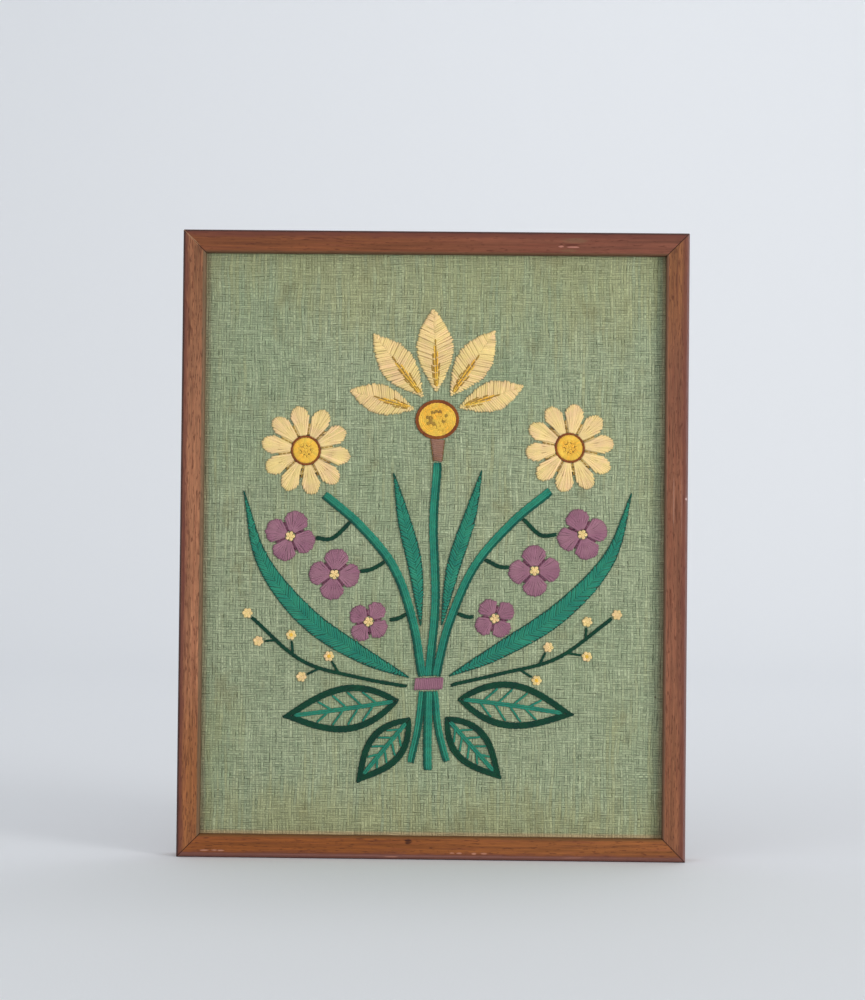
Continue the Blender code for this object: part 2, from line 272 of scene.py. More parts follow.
class Stitches:
    """The wool threads that stand for one node. Heights are above the linen, in millimetres."""

    def __init__(self, node, wool, padded=False):
        self.node = node
        self.wool = wool
        self.points = []
        self.quads = []
        self.caps = []
        self.quad_wools = []
        self.cap_wools = []
        self.tints = []
        self.painted_shade_levels = []
        self.wools = []
        self.count = 0
        if padded:
            self.underlay()

    def slot(self, wool):
        """The wool's material slot, a new one where the piece hasn't used it yet."""
        if wool not in self.wools:
            self.wools.append(wool)
        return self.wools.index(wool)

    def thread(self, path, wool, size=1.0, tint=0.0, flat=1.0):
        """A twisted tube along path, an array of (x, z, height) before the waver."""
        path = hand_drawn(path)
        steps = len(path)
        along = np.gradient(path, axis=0)
        along /= np.maximum(np.linalg.norm(along, axis=1, keepdims=True), 1e-9)
        side = np.stack([-along[:, 1], along[:, 0], np.zeros(steps)], 1)
        side /= np.maximum(np.linalg.norm(side, axis=1, keepdims=True), 1e-9)
        up = np.cross(along, side)
        up *= np.sign(up[:, 2:3] + 1e-9)
        length = np.concatenate([[0], np.cumsum(np.linalg.norm(np.diff(path, axis=0), axis=1))])
        from_end = np.minimum(length, length[-1] - length)
        taper = 0.72 + 0.28 * np.clip(from_end / 1.2, 0, 1)
        turn = 2 * np.pi * length / TWIST_LENGTH + rng.uniform(0, 2 * np.pi)
        angles = 2 * np.pi * np.arange(THREAD_SIDES) / THREAD_SIDES
        swell = 1 + TWIST_DEPTH * np.cos(2 * (angles[None, :] - turn[:, None]))
        reach = size * taper[:, None] * swell
        rings = (
            path[:, None, :]
            + side[:, None, :] * (HALF_WIDTH * reach * np.cos(angles))[..., None]
            + up[:, None, :] * (HALF_HEIGHT * flat * reach * np.sin(angles))[..., None]
        )
        index = self.count + np.arange(steps * THREAD_SIDES).reshape(steps, THREAD_SIDES)
        ahead = np.roll(index, -1, axis=1)
        quads = np.stack([index[:-1], ahead[:-1], ahead[1:], index[1:]], -1).reshape(-1, 4)
        slot = self.slot(wool)
        self.points.append(rings.reshape(-1, 3))
        self.quads.append(quads)
        self.quad_wools += [slot] * len(quads)
        self.caps += [index[0][::-1], index[-1]]
        self.cap_wools += [slot] * 2
        self.tints.append(np.full(steps * THREAD_SIDES, tint))
        # Painted shade level: the lower a point lies, the darker its wool is painted
        self.painted_shade_levels.append(np.clip(rings[..., 2].reshape(-1) / (2 * HALF_HEIGHT), 0, 1))
        self.count += steps * THREAD_SIDES

    def stitch(self, start, end, wool, size=1.0, tint=None, height=0.42, crown=0.0, bow=0.0, dive=DIVE):
        """One stitch from hole to hole. bow bends it sideways, crown lifts its middle."""
        start = np.asarray(start, float)
        end = np.asarray(end, float)
        span = end - start
        length = float(np.linalg.norm(span))
        if length < SHORTEST_STITCH:
            return
        steps = max(6, round(length / THREAD_STEP)) + 1
        share = np.linspace(0, 1, steps)
        share = share - 0.09 * np.sin(2 * np.pi * share)
        flat = start + span * share[:, None]
        across = left_of(span) / length
        flat += across * (bow * np.sin(np.pi * share))[:, None]
        from_end = np.minimum(share, 1 - share) * length / min(dive, length / 2)
        rise = np.sqrt(np.clip(1 - (1 - np.clip(from_end, 0, 1)) ** 2, 0, 1))
        lift = (height + HOLE_DEPTH) * rise - HOLE_DEPTH + crown * np.sin(np.pi * share)
        if tint is None:
            tint = rng.normal(0, 0.5)
        self.thread(np.column_stack([flat, lift]), wool, size, tint)

    def knot(self, centre, wool, size=1.0):
        """A French knot: a thread wound round itself."""
        share = np.linspace(0, 1, KNOT_STEPS)
        angle = 2 * np.pi * KNOT_TURNS * share + rng.uniform(0, 2 * np.pi)
        radius = (0.72 - 0.42 * share**2) * size
        lift = 0.2 + 0.5 * np.sin(np.pi * share * 0.62)
        path = np.column_stack(
            [centre[0] + radius * np.cos(angle), centre[1] + radius * np.sin(angle), lift]
        )
        self.thread(path, wool, 0.78 * size, rng.normal(0, 0.5), flat=1.15)

    def underlay(self):
        """A low pad of the same wool below the stitches, a little inside the node's own outline."""
        pad = bmesh.new()
        pad.from_mesh(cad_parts[self.node].data)
        bmesh.ops.remove_doubles(pad, verts=pad.verts, dist=0.01 * MM)
        pad.normal_update()
        middle_depth = sum(v.co.y for v in pad.verts) / len(pad.verts)
        points = []
        for vert in pad.verts:
            out = Vector((vert.normal.x, vert.normal.z)).normalized() * UNDERLAY_INSET
            x = (vert.co.x - MIDDLE_X) / MM - out.x
            z = (vert.co.z - MIDDLE_Z) / MM - out.y
            points.append((x, z, UNDERLAY_TOP if vert.co.y < middle_depth else UNDERLAY_FOOT))
        slot = self.slot(self.wool)
        for face in pad.faces:
            self.caps.append(np.array([self.count + v.index for v in face.verts]))
            self.cap_wools.append(slot)
        pad.free()
        self.points.append(np.array(points))
        self.tints.append(np.full(len(points), UNDERLAY_TINT))
        self.painted_shade_levels.append(np.full(len(points), UNDERLAY_SHADE_LEVEL))
        self.count += len(points)

    def finish(self):
        """Makes the piece, which stands for the node."""
        flat = np.concatenate(self.points)
        placed = np.column_stack(
            [MIDDLE_X + flat[:, 0] * MM, LINEN_FRONT - flat[:, 2] * MM, MIDDLE_Z + flat[:, 1] * MM]
        )
        faces = [q.tolist() for q in np.concatenate(self.quads)] + [c.tolist() for c in self.caps]
        name = f"stitched_{self.node}"
        mesh = bpy.data.meshes.new(name)
        mesh.from_pydata(placed.tolist(), [], faces)
        for wool in self.wools:
            mesh.materials.append(wool_materials[wool])
        mesh.polygons.foreach_set("material_index", self.quad_wools + self.cap_wools)
        for label, values in (("tint", self.tints), ("depth", self.painted_shade_levels)):
            layer = mesh.attributes.new(label, "FLOAT", "POINT")
            layer.data.foreach_set("value", np.concatenate(values).astype(np.float32))
        mesh.shade_smooth()
        obj = add_object(name, mesh)
        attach(obj, BODY)
        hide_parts(self.node)


# Lines and outlines


class Line:
    """A run of points, read by length. A share is a share of its points."""

    def __init__(self, points):
        self.points = np.array(points, float)
        gaps = np.linalg.norm(np.diff(self.points, axis=0), axis=1)
        self.lengths = np.concatenate([[0], np.cumsum(gaps)])
        self.shares = np.linspace(0, 1, len(points))
        self.length = float(self.lengths[-1])

    def share(self, length):
        return float(np.interp(length, self.lengths, self.shares))

    def at(self, length):
        return np.array([np.interp(length, self.lengths, self.points[:, k]) for k in (0, 1)])

    def normal(self, length):
        """The unit vector to the left of the line."""
        run = self.at(length + 0.3) - self.at(length - 0.3)
        if not run.any():
            run = self.points[-1] - self.points[-2]
        return left_of(unit(run))

    def beside(self, length, offset):
        return self.at(length) + offset * self.normal(length)


def curve(points, steps=10):
    """A smooth Line through a few points."""
    points = np.array(points, float)
    ends = [2 * points[0] - points[1], *points, 2 * points[-1] - points[-2]]
    path = []
    for a, b, c, d in zip(ends, ends[1:], ends[2:], ends[3:]):
        for t in np.arange(steps) / steps:
            square = (2 * a - 5 * b + 4 * c - d) * t**2
            cube = (3 * b - a - 3 * c + d) * t**3
            path.append(0.5 * (2 * b + (c - a) * t + square + cube))
    return Line(path + [points[-1]])


def jitter(amount):
    return rng.normal(0, amount, 2)


# How far each end of a stem stitch leans from the row's line
STEM_LEAN = 0.24


def sideways(first, last, middle):
    """How far a stitch from first to last bends sideways to pass over middle."""
    span = last - first
    across = np.dot(middle - (first + last) / 2, left_of(span))
    return float(across / max(np.linalg.norm(span), 1e-6))


def stem_row(work, line, wool, offset=0.0, size=1.0, stitch=5.0, start=0.0, end=None, height=0.42):
    """A row of stem stitch: slanting stitches that overlap like the strands of a rope."""
    end = line.length if end is None else end
    step = stitch * 0.55
    place = start - stitch * 0.2
    tint = rng.normal(0, 0.35)
    while place < end - 0.4 * step:
        first = max(place, start)
        last = min(place + stitch, end)
        if last - first > 0.8:
            a = line.beside(first, offset - STEM_LEAN) + jitter(0.05)
            b = line.beside(last, offset + STEM_LEAN) + jitter(0.05)
            bow = sideways(a, b, line.beside((first + last) / 2, offset))
            work.stitch(a, b, wool, size, tint + rng.normal(0, 0.55), height, bow=bow, dive=1.0)
        place += step


def back_stitches(work, line, wool, size=0.62, stitch=2.6, height=0.5, start=0.0):
    """A fine line of short stitches, hole to hole."""
    count = max(1, round((line.length - start) / stitch))
    marks = np.linspace(start, line.length, count + 1)
    for a, b in zip(marks, marks[1:]):
        first = line.at(a) + jitter(0.06)
        last = line.at(b) + jitter(0.06)
        bow = sideways(first, last, line.at((a + b) / 2))
        work.stitch(first, last, wool, size, rng.normal(0, 0.4), height, bow=bow, dive=0.6)


def blade_width(width, belly):
    return lambda share: width / 2 * math.sin(math.pi * min(max(share, 0), 1) ** belly)


def blade_rim(line, half_width):
    """Both sides of a blade, each as a run of points."""
    places = np.linspace(0, line.length, 40)
    reaches = [half_width(line.share(place)) for place in places]
    return [[line.beside(p, side * r) for p, r in zip(places, reaches)] for side in (1, -1)]


def satin_halves(work, line, half_width, wool, slant, crown, tint):
    """Slanting stitches from the rim to the middle line, on both sides of it."""
    step = THREAD_PITCH * math.sqrt(1 + slant**2)
    for side in (-1, 1):
        place = rng.uniform(0, step)
        while place < line.length - 0.8:
            reach = half_width(line.share(place))
            ahead = min(place + slant * reach, line.length - 0.3)
            rim_reach = half_width(line.share(ahead))
            if rim_reach > 0.45:
                root = line.beside(place, -side * rng.uniform(0.0, 0.55)) + jitter(0.08)
                rim = line.beside(ahead, side * (rim_reach - rng.uniform(-0.2, 0.4))) + jitter(0.12)
                shade = tint(line.share(place)) + rng.normal(0, 0.45)
                size = rng.uniform(0.93, 1.07)
                work.stitch(rim, root, wool, size, shade, 0.42, crown, rng.normal(0, 0.08))
            place += step * rng.uniform(0.94, 1.06)


# The posy: the same driving sizes as the solids

MARGIN = 0.4
HEART = (0, 64)
FAN_START = 11
FAN_PETALS = ((-72, 35, 15), (-36, 41, 17.5), (0, 43, 18.5), (36, 41, 17.5), (72, 35, 15))
# Each line of shading: its place across the petal, how far up it runs, and its wool
PETAL_SHADING = (
    (-2.2, 0.36, "olive_gold"),
    (-1.3, 0.5, "gold"),
    (-0.5, 0.64, "olive_gold"),
    (0.3, 0.56, "gold"),
    (1.1, 0.48, "olive_gold"),
    (1.9, 0.34, "olive_gold"),
)
CUP_ACROSS, CUP_UP = 10.5, 9.5
NECK_TOP, NECK_FOOT = 52, 41
STEM_WIDTH = 4.2
SIDE_STEM = ((9, -40), (20, -12), (38, 10), (56.5, 26))
NECK_WIDTH = 7
TIE_CENTRE = -70
TIE_HALF_WIDTH, TIE_HALF_HEIGHT = 7, 3
ABOVE_TIE = TIE_CENTRE + TIE_HALF_HEIGHT + 2 * MARGIN
BELOW_TIE = TIE_CENTRE - TIE_HALF_HEIGHT - 2 * MARGIN
DAISY = (66, 48)
DAISY_RADIUS, DAISY_NOTCH, DAISY_HOLE = 22.5, 13, 7.2
DAISY_LOBES = 10
BLOSSOMS = (
    ((73, 5), 13, 20, 0.8, (52, 4)),
    ((50, -14), 13, 5, 0.55, (32, -12)),
    ((31.5, -38), 10.7, 35, 0.3, (17.2, -37)),
)
BLOSSOM_LOBES = 4
EYE_RADIUS = 2.6
OUTER_LEAF = ((10, -66.5), (34, -54.5), (63, -35), (86.5, -7), (97, 27))
INNER_LEAF = ((5.2, -41), (9.5, -12), (16.5, 13), (22, 36))
VEINED_LEAVES = (("upper", (15, -78), 97, 58, 23), ("lower", (9, -87), 139, 41, 19))
VEIN_RIM = 3.2
SPRIG = ((11, -71), (36, -65.5), (64, -57), (90, -36))
SPRIG_STUBS = ((0.44, -1, 7), (0.58, 1, 7), (0.72, -1, 7), (0.86, 1, 6))
KNOT_RADIUS = 2.6


def turned(angle, reach, start=(0, 0)):
    """The point at this angle and reach from start, the angle in degrees from straight up."""
    way = math.radians(angle)
    return np.array([start[0] + reach * math.sin(way), start[1] + reach * math.cos(way)])


def turned_round(centre, angle, reach, stretch=1.0):
    """A point at an angle in radians from the X axis, stretched sideways."""
    x = centre[0] + stretch * reach * math.cos(angle)
    return np.array([x, centre[1] + reach * math.sin(angle)])


def round_spots(centre, reach, count, turn=0.0, stretch=1.0):
    """Points evenly round a centre."""
    angles = [2 * math.pi * k / count + turn for k in range(count)]
    return [turned_round(centre, angle, reach, stretch) for angle in angles]


def mirrored(points, sign):
    return [(sign * x, z) for x, z in points]


def ellipse(centre, across, up, count=48):
    """Points all round an ellipse, from anywhere on it."""
    angles = np.linspace(0, 2 * np.pi, count + 1) + rng.uniform(0, 2 * np.pi)
    return [(centre[0] + across * math.cos(a), centre[1] + up * math.sin(a)) for a in angles]


def stitch_fan():
    for i, (angle, length, width) in enumerate(FAN_PETALS):
        line = curve([turned(angle, FAN_START + length * t, HEART) for t in (0, 0.5, 1)])
        half_width = blade_width(width, 1.1)
        work = Stitches(f"fan_petal_{i + 1}", "cream", padded=True)
        satin_halves(work, line, half_width, "cream", 0.45, 0.16, lambda share: 0.7 * share - 0.5)
        for offset, last, wool in PETAL_SHADING:
            run = last * length - 3.0
            row = []
            for share in np.linspace(0, 1, 9):
                spread = offset * (0.35 + 0.65 * share) + rng.normal(0, 0.12)
                row.append(line.beside(3.0 + run * share, spread))
            back_stitches(work, Line(row), wool, 0.62, 3.6, 0.9, rng.uniform(0, 1.5))
        work.finish()


def stitch_cup():
    work = Stitches("fan_cup", "gold", padded=True)
    centre = (0, HEART[1] - 2)
    inset = 1.6
    while inset < 5.2:
        ring = Line(ellipse(centre, CUP_ACROSS - inset, CUP_UP - inset))
        stem_row(work, ring, "gold", size=0.95, stitch=3.2, height=0.45)
        inset += 0.88
    for ring, count in ((0, 1), (1.35, 6), (2.7, 12), (4.0, 16)):
        for spot in round_spots(centre, ring, count, ring, 1.28):
            work.knot(spot, "olive_gold" if rng.random() < 0.2 else "gold", 0.95)
    for inset in (0.05, 0.75):
        rim = Line(ellipse(centre, CUP_ACROSS - inset, CUP_UP - inset))
        stem_row(work, rim, "rust", size=0.75, stitch=3.6, height=0.55)
    work.finish()


def stitch_neck():
    work = Stitches("fan_neck", "taupe", padded=True)
    line = curve(((0, NECK_TOP), (0, NECK_FOOT)))

    def half_width(length):
        return (NECK_WIDTH + (STEM_WIDTH - NECK_WIDTH) * line.share(length)) / 2

    place = 0.5
    while place < line.length - 0.3:
        reach = half_width(place)
        first = line.beside(place - 0.5, -reach)
        work.stitch(first, line.beside(place + 0.5, reach), "taupe", 1.0, None, 0.42, 0.2)
        place += THREAD_PITCH
    for side in (-1, 1):
        places = np.linspace(0, line.length, 9)
        edge = [line.beside(place, side * half_width(place)) for place in places]
        back_stitches(work, Line(edge), "bark", 0.45)
    work.finish()


def stitch_lobes(work, centre, radius, notch, lobes, turn, hole, wool, edge, tone=0.5):
    """Petals round a centre, each filled from its rim inwards, with a dark stitch in each groove."""
    pitch_angle = math.pi / lobes
    for lobe in range(lobes):
        axis = 2 * math.pi * lobe / lobes + math.radians(turn)
        count = max(5, round(2 * pitch_angle * radius * 0.8 / THREAD_PITCH))
        for k in range(count):
            across = (k + 0.5) / count * 2 - 1
            angle = across * pitch_angle * 0.86
            rim = notch + (radius - notch) * abs(math.cos(lobes * angle / 2)) ** 0.55
            outer = rim - rng.uniform(-0.15, 0.45)
            inner = hole + 0.2 if k % 2 == 0 else hole + (outer - hole) * rng.uniform(0.32, 0.5)
            first = turned_round(centre, axis + angle, outer)
            last = turned_round(centre, axis + angle * (0.72 if k % 2 else 0.648), inner)
            shade = tone * abs(across) - 0.3 + rng.normal(0, 0.4)
            size = rng.uniform(0.93, 1.07)
            work.stitch(first, last, wool, size, shade, 0.42, 0.16, rng.normal(0, 0.08))
    for lobe in range(lobes):
        axis = 2 * math.pi * lobe / lobes + math.radians(turn)
        groove = [turned_round(centre, axis + pitch_angle, reach) for reach in (notch + 0.8, hole + 0.4)]
        back_stitches(work, Line(groove), edge, 0.5, 2.4, 0.62)


def stitch_daisies():
    for side, sign in SIDES:
        centre = (sign * DAISY[0], DAISY[1])
        work = Stitches(f"daisy_petals_{side}", "cream", padded=True)
        sizes = (DAISY_RADIUS, DAISY_NOTCH, DAISY_LOBES, 9 * sign, DAISY_HOLE)
        stitch_lobes(work, centre, *sizes, "cream", "olive_gold")
        work.finish()
        work = Stitches(f"daisy_button_{side}", "gold", padded=True)
        rays = round(2 * math.pi * DAISY_HOLE / THREAD_PITCH)
        for k in range(rays):
            angle = 2 * math.pi * k / rays
            first = turned_round(centre, angle, DAISY_HOLE - 0.6)
            last = turned_round(centre, angle + 0.1, 3.1 + rng.uniform(0, 0.5))
            work.stitch(first, last, "gold", 0.95, None, 0.45, 0.12)
        for first, last in zip(round_spots(centre, 0.3, 14), round_spots(centre, 3.9, 14)):
            work.stitch(first, last, "olive_gold", 1.0, None, 0.3)
        for ring, count in ((0, 1), (1.75, 6), (3.4, 11)):
            for spot in round_spots(centre, ring, count, ring):
                work.knot(spot, "gold", 0.92)
        rim = Line(ellipse(centre, DAISY_HOLE - 0.2, DAISY_HOLE - 0.2))
        stem_row(work, rim, "rust", size=0.78, stitch=3.4, height=0.58)
        work.finish()


def side_stem(sign):
    return curve(mirrored(((3.5, ABOVE_TIE),) + SIDE_STEM, sign))


def rows_across(work, line, width, wools):
    """Rows of stem stitch side by side over a stem's width."""
    count = len(wools)
    for k, wool in enumerate(wools):
        offset = (k + 0.5 - count / 2) * (width - 0.2) / count
        stem_row(work, line, wool, offset, 1.0, 6.5)


def stitch_stems():
    wools = ("deep_teal", "teal", "teal", "teal")
    work = Stitches("stems", "teal", padded=True)
    for sign in (-1, 1):
        rows_across(work, side_stem(sign), STEM_WIDTH, wools[::sign])
    middle = curve(((0, ABOVE_TIE), (1.5, -30), (-1.5, 10), (0, NECK_FOOT - 1.5 * MARGIN)))
    rows_across(work, middle, STEM_WIDTH, wools)
    work.finish()
    work = Stitches("stalk_ends", "teal", padded=True)
    for sign in (-1, 1):
        line = curve(mirrored(((3, BELOW_TIE), (5, -92), (9, -109)), sign))
        rows_across(work, line, STEM_WIDTH - 0.6, wools[:3][::sign])
    rows_across(work, curve(((0, BELOW_TIE), (-0.5, -113))), STEM_WIDTH, wools)
    work.finish()
    work = Stitches("stem_tie", "mauve", padded=True)
    x = -TIE_HALF_WIDTH + 0.5
    while x < TIE_HALF_WIDTH:
        low = (x - 0.25, TIE_CENTRE - TIE_HALF_HEIGHT + rng.uniform(-0.1, 0.2))
        high = (x + 0.25, TIE_CENTRE + TIE_HALF_HEIGHT + rng.uniform(-0.2, 0.1))
        work.stitch(low, high, "mauve", 1.0, None, 0.5, 0.3)
        x += THREAD_PITCH * 0.95
    work.finish()


def stitch_long_leaves():
    for side, sign in SIDES:
        for name, path, width in (("outer", OUTER_LEAF, 9.5), ("inner", INNER_LEAF, 7)):
            line = curve(mirrored(path, sign))
            half_width = blade_width(width, 0.9)
            work = Stitches(f"leaf_{name}_{side}", "teal", padded=True)
            satin_halves(work, line, half_width, "teal", 1.1, 0.1, lambda share: 0.4 - 0.6 * share)
            for edge in blade_rim(line, half_width):
                back_stitches(work, Line(edge), "deep_teal", 0.5, 2.8)
            work.finish()


def stitch_blossoms():
    for side, sign in SIDES:
        stem = side_stem(sign)
        for i, (centre, radius, turn, share, bend) in enumerate(BLOSSOMS):
            middle = np.array([sign * centre[0], centre[1]])
            label = f"{side}_{i + 1}"
            work = Stitches(f"blossom_{label}", "mauve", padded=True)
            sizes = (radius, radius * 0.55, BLOSSOM_LOBES, turn * sign, EYE_RADIUS - 0.3)
            stitch_lobes(work, middle, *sizes, "mauve", "plum", 0.7)
            work.finish()
            work = Stitches(f"blossom_eye_{label}", "cream")
            work.knot(middle, "cream", 0.9)
            for spot in round_spots(middle, 1.55, 5, i):
                work.knot(spot, "cream", 0.85)
            work.finish()
            knee = np.array([sign * bend[0], bend[1]], float)
            way = unit(knee - middle)
            place = stem.lengths[round(share * (len(stem.lengths) - 1))]
            start = stem.beside(place, -sign * (STEM_WIDTH / 2 + 0.2))
            line = curve([start, knee, middle + way * (radius - 0.2)])
            work = Stitches(f"blossom_stalk_{label}", "forest")
            for offset in (-0.45, 0.45):
                stem_row(work, line, "forest", offset, 0.85, 4.2)
            work.finish()


def stitch_veined_leaves():
    for side, sign in SIDES:
        for name, base, angle, length, width in VEINED_LEAVES:
            foot = np.array([sign * base[0], base[1]], float)
            line = curve([turned(sign * angle, length * t, foot) for t in (0, 0.5, 1)])
            half_width = blade_width(width, 0.85)
            work = Stitches(f"veined_leaf_{name}_{side}", "forest")
            for edge_side in (-1, 1):
                for row in range(3):
                    inset = 0.45 + row
                    edge = []
                    for s in np.linspace(0, line.length, 40):
                        reach = half_width(line.share(s)) - inset
                        if reach > -0.7:
                            edge.append(line.beside(s, edge_side * max(reach, 0.15)))
                    stem_row(work, Line(edge), "forest")
            for offset in (-0.5, 0.5):
                stem_row(work, line, "teal", offset, 0.9, 4.5, 2.5, line.length - 5)
            for edge_side in (-1, 1):
                for share in np.arange(0.2, 0.72, 0.13):
                    place = share * line.length + edge_side * 0.8
                    ahead = min(place + 0.112 * length, line.length - 4)
                    reach = half_width(line.share(ahead)) - VEIN_RIM
                    if reach > 1.5:
                        root = line.beside(place, edge_side * 0.4)
                        vein = Line([root, line.beside(ahead, edge_side * reach)])
                        stem_row(work, vein, "teal", 0.0, 0.85, 4.0)
            work.finish()


def stitch_sprigs():
    for side, sign in SIDES:
        line = curve(mirrored(SPRIG, sign), 6)
        work = Stitches(f"sprig_{side}", "forest")
        for offset in (-0.35, 0.4):
            stem_row(work, line, "forest", offset, 0.8, 4.5)
        tips = [(line.points[-1], unit(line.points[-1] - line.points[-2]))]
        last = len(line.points) - 1
        for share, way, length in SPRIG_STUBS:
            i = round(share * last)
            run = unit(line.points[i + 1] - line.points[i])
            out = unit(run + way * left_of(run))
            end = line.points[i] + out * length
            stem_row(work, Line([line.points[i], end]), "forest", 0.0, 0.95, 4.0)
            tips.append((end, out))
        work.finish()
        for i, (end, out) in enumerate(tips):
            centre = end + out * (KNOT_RADIUS + MARGIN)
            work = Stitches(f"knot_{side}_{i + 1}", "cream")
            work.knot(centre, "gold" if i % 2 else "cream", 1.0)
            for spot in round_spots(centre, 1.65, 6, i):
                work.knot(spot, "cream", 0.9)
            work.finish()


def dress_posy():
    stitch_fan()
    stitch_cup()
    stitch_neck()
    stitch_daisies()
    stitch_stems()
    stitch_long_leaves()
    stitch_blossoms()
    stitch_veined_leaves()
    stitch_sprigs()


# Linen

WARP_PITCH = 1.4
WEFT_PITCH = 1.12
LINEN_STEP = 1.5


def linen_material():
    """Green slubby plain weave with paler and darker threads, a few stains and specks, and a pale band
    along the foot. Painted light and shade: darker gaps between the threads, brighter thread crowns, a
    brownish glow bounced off the wood along the side members, and darker towards the left.
    """
    tree = Tree("linen_weave")
    x, y, z = tree.place()
    wander_x = tree.noise((x * 0.02, z * 0.03)) * 3.0
    wander_z = tree.noise((x * 0.03, z * 0.02, 7.0)) * 3.0
    uneven_x = tree.noise((x * 0.32, z * 0.05, 23.0), detail=1.0) * 1.7
    uneven_z = tree.noise((x * 0.05, z * 0.36, 29.0), detail=1.0) * 1.4
    across = (x + wander_x + uneven_x) / WARP_PITCH
    up = (z + wander_z + uneven_z) / WEFT_PITCH
    warp_wave = (across * math.pi).math("SINE")
    weft_wave = (up * math.pi).math("SINE")
    warp_bulge = warp_wave.math("ABSOLUTE")
    weft_bulge = weft_wave.math("ABSOLUTE")
    warp_number = across.math("FLOOR")
    weft_number = up.math("FLOOR")
    warp_tone = tree.noise((warp_number * 3.71, z * 0.04), detail=4.0, roughness=0.65)
    weft_tone = tree.noise((x * 0.1, weft_number * 2.93, 5.0), detail=4.0, roughness=0.65)
    pull = tree.noise((x * 0.38, z * 0.38, 21.0)) - 0.5
    on_top = (warp_wave * weft_wave + (warp_tone - weft_tone) * 1.8 + pull * 4).smooth(-0.6, 0.6)
    under = on_top * -1 + 1
    height = warp_bulge * on_top * 0.5 + weft_bulge * under * 0.5
    tone = warp_tone * on_top + (weft_tone * 0.7 + 0.15) * under
    warp_gap_spot = ((across + 0.5).math("FLOOR") * 2.17, z * 0.11, 9.0)
    weft_gap_spot = (x * 0.13, (up + 0.5).math("FLOOR") * 1.83, 13.0)
    warp_loose = tree.noise(warp_gap_spot).smooth(0.44, 0.62) * 0.85 + 0.15
    weft_loose = tree.noise(weft_gap_spot).smooth(0.44, 0.62) * 0.85 + 0.15
    # Painted shade in the gaps between threads, stronger where the threads lie loose
    warp_gap_shade = warp_bulge.smooth(0.75, 0.1) * warp_loose * on_top
    weft_gap_shade = weft_bulge.smooth(0.75, 0.1) * weft_loose * under
    fibre = tree.noise((x, y, z), scale=3.0, detail=4.0, roughness=0.75)
    warp_slub = tree.noise((x * 0.85, z * 0.09, 31.0))
    weft_slub = tree.noise((x * 0.09, z * 0.85, 37.0))
    slub = warp_slub * on_top + weft_slub * under
    shade = tree.mix(tone.clamped(0.32, 0.7), (128, 142, 114), (176, 185, 151))
    shade = tree.mix((warp_gap_shade + weft_gap_shade) * 0.75, shade, (80, 94, 70))
    patch = tree.noise((x * 0.02, z * 0.012, 2.0), detail=4.0, roughness=0.6)
    streak = tree.noise((warp_number * 0.9, z * 0.012, 17.0), detail=3.0, roughness=0.7)
    up_share = z.clamped(LINEN_LOW.z / MM, LINEN_HIGH.z / MM)
    near_ends = up_share.smooth(0.8, 0.98) * 0.16 + up_share.smooth(0.14, 0.03) * 0.16
    mint = tree.noise((x * 0.016, z * 0.012, 41.0), detail=3.0).smooth(0.45, 0.62)
    shade = tree.mix(mint * 0.25, shade, (134, 152, 118))
    tan = (patch * 0.45 + streak * 0.55 + near_ends).smooth(0.47, 0.7)
    shade = tree.mix(tan * 0.5, shade, (154, 152, 106))
    stain = tree.noise((x * 0.045, z * 0.03, 11.0), detail=4.0, roughness=0.65)
    stain = (stain + near_ends * 0.35).smooth(0.57, 0.72)
    shade = tree.mix(stain * 0.4, shade, (126, 122, 86))
    speck = tree.noise((x * 0.4, z * 0.4, 3.0), detail=1.0).smooth(0.78, 0.82)
    shade = tree.mix(speck * 0.7, shade, (86, 72, 48))
    # Painted light bounced off the wood: a brownish band on the cloth beside the left and right members
    wood_bounce_reach = (x.math("ABSOLUTE") * -1 + (FRAME_HIGH.x / MM - FACE)).smooth(3.2, 0.4)
    shade = tree.mix(wood_bounce_reach * 0.5, shade, (136, 112, 88))
    # A paler tan band on the cloth just above the bottom member's inner edge
    pale_foot_band = z.smooth(OPENING_FOOT + 2.4, OPENING_FOOT + 0.6)
    shade = tree.mix(pale_foot_band * 0.7, shade, (186, 160, 122))
    # Painted light: the crowns of the threads are painted brighter by their height
    bright = height * 0.7 + slub * 1.25 + fibre + streak * 0.2 - 0.54
    # Painted shade: the cloth is painted a little darker towards the left
    painted_left_shade = x.smooth(-120, -10) * 0.05 + 0.96
    shade = tree.brighter(shade, bright * painted_left_shade)
    return tree.finish(shade, 0.95, height + fibre * 0.2, 0.35, 0.12, 0.1)


def linen_relief(x, z):
    """The cloth's slight unevenness over the board, in millimetres."""
    return (
        0.05 * np.sin(x / 23 + 0.6 * np.sin(z / 31))
        + 0.04 * np.sin(z / 19 + 0.8 * np.sin(x / 27) + 1.3)
        + 0.03 * np.sin((x + 0.4 * z) / 11 + 2.1)
    )


